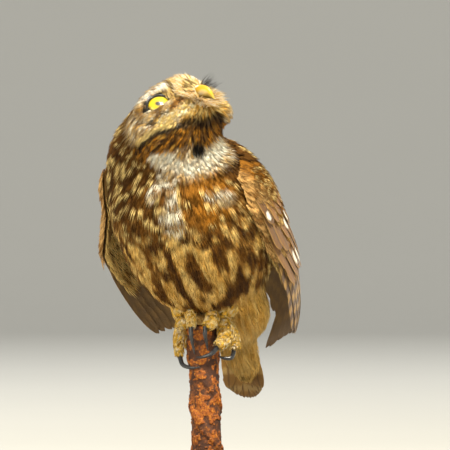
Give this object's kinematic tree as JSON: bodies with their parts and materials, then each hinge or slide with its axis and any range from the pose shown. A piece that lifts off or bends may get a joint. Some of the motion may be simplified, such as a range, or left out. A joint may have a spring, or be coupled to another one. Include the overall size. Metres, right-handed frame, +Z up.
{
  "type": "mounted little owl",
  "caption": "Life-size still model of a small owl that grips the top of a rusty bar with its head thrown back, held by a plain stand.",
  "frame": {"origin": "middle of the stand's underside, on the floor", "axes": "+Z up along the bar; -Y is the side the bird's breast faces, turned a little towards -X; +X is the bird's left"},
  "size_m": [0.11, 0.1278, 0.2036],
  "materials": {
    "flank_feather": "soft matt feathers, cream with brown streaks",
    "body_feather": "soft matt feathers, brown with pale spots",
    "flight_feather": "matt vanes, brown with pale bars and spots",
    "toe_feather": "short bristly feathers over scaled toes",
    "claw_horn": "polished dark horn",
    "bill_horn": "satin yellow horn, greener at the sides",
    "eye": "wet and clear over a bright yellow iris",
    "rusty_steel": "rough and flaking, dark with orange rust",
    "stand_wood": "dark satin varnish",
    "stand_steel": "brushed"
  },
  "bodies": {
    "root": {"torso": "flank_feather", "neck": "body_feather", "head": "body_feather", "wing_left": "flight_feather", "wing_right": "flight_feather", "tail": "flight_feather", "leg_left": "toe_feather", "leg_right": "toe_feather", "claw_left_1": "claw_horn", "claw_left_2": "claw_horn", "claw_left_3": "claw_horn", "claw_left_4": "claw_horn", "claw_right_1": "claw_horn", "claw_right_2": "claw_horn", "claw_right_3": "claw_horn", "bill_upper": "bill_horn", "bill_lower": "bill_horn", "eye_left": "eye", "eye_right": "eye", "perch_bar": "rusty_steel", "stand_base": "stand_wood", "stand_rod": "stand_steel"}
  },
  "joints": []
}
